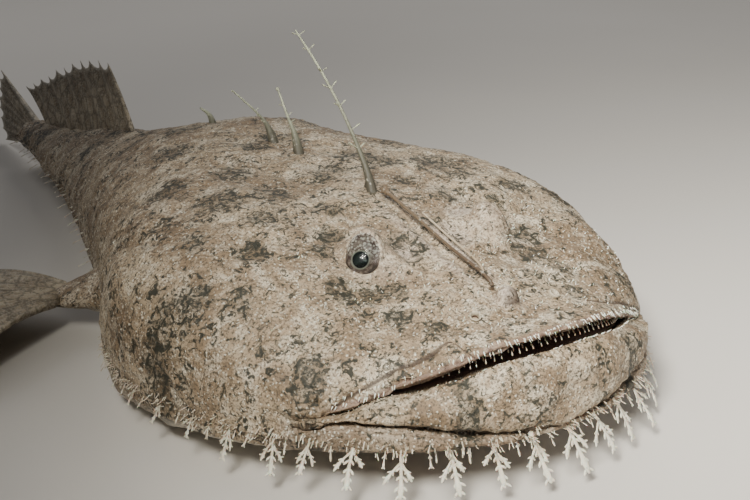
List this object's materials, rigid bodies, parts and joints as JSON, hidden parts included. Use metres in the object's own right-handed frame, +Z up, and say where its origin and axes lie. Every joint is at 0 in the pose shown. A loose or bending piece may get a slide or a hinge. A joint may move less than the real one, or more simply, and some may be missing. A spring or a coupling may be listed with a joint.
{
  "type": "goosefish",
  "caption": "Life-size goosefish resting on its belly: broad flat head with a wide mouth, fringed jaw, dorsal spines, tapering tail and spread fins.",
  "frame": {"origin": "on the floor under the middle of the whole fish's bounding box", "axes": "+Z up, the head faces -Y and the fish's left side is +X"},
  "size_m": [0.527, 0.8131, 0.1868],
  "materials": {
    "skin": "damp finely granular skin, pale beige with broken olive-brown mottling",
    "fin_skin": "thick mottled brown skin over ridged rays",
    "spine_skin": "thin grey-brown skin over a bony rod, paler at the tip",
    "eye": "wet glossy eye with a brown-grey ring and a dark round pupil"
  },
  "bodies": {
    "root": {"head": "skin", "upper_jaw": "skin", "lower_jaw": "skin", "torso": "skin", "tail": "skin", "pectoral_arm_left": "skin", "pectoral_arm_right": "skin", "pectoral_fin_left": "fin_skin", "pectoral_fin_right": "fin_skin", "pelvic_fin_left": "fin_skin", "pelvic_fin_right": "fin_skin", "caudal_fin": "fin_skin", "dorsal_fin": "fin_skin", "anal_fin": "fin_skin", "eye_left": "eye", "eye_right": "eye", "illicium": "spine_skin", "spine_2": "spine_skin", "spine_3": "spine_skin", "spine_4": "spine_skin", "spine_5": "spine_skin", "spine_6": "spine_skin"}
  },
  "joints": []
}
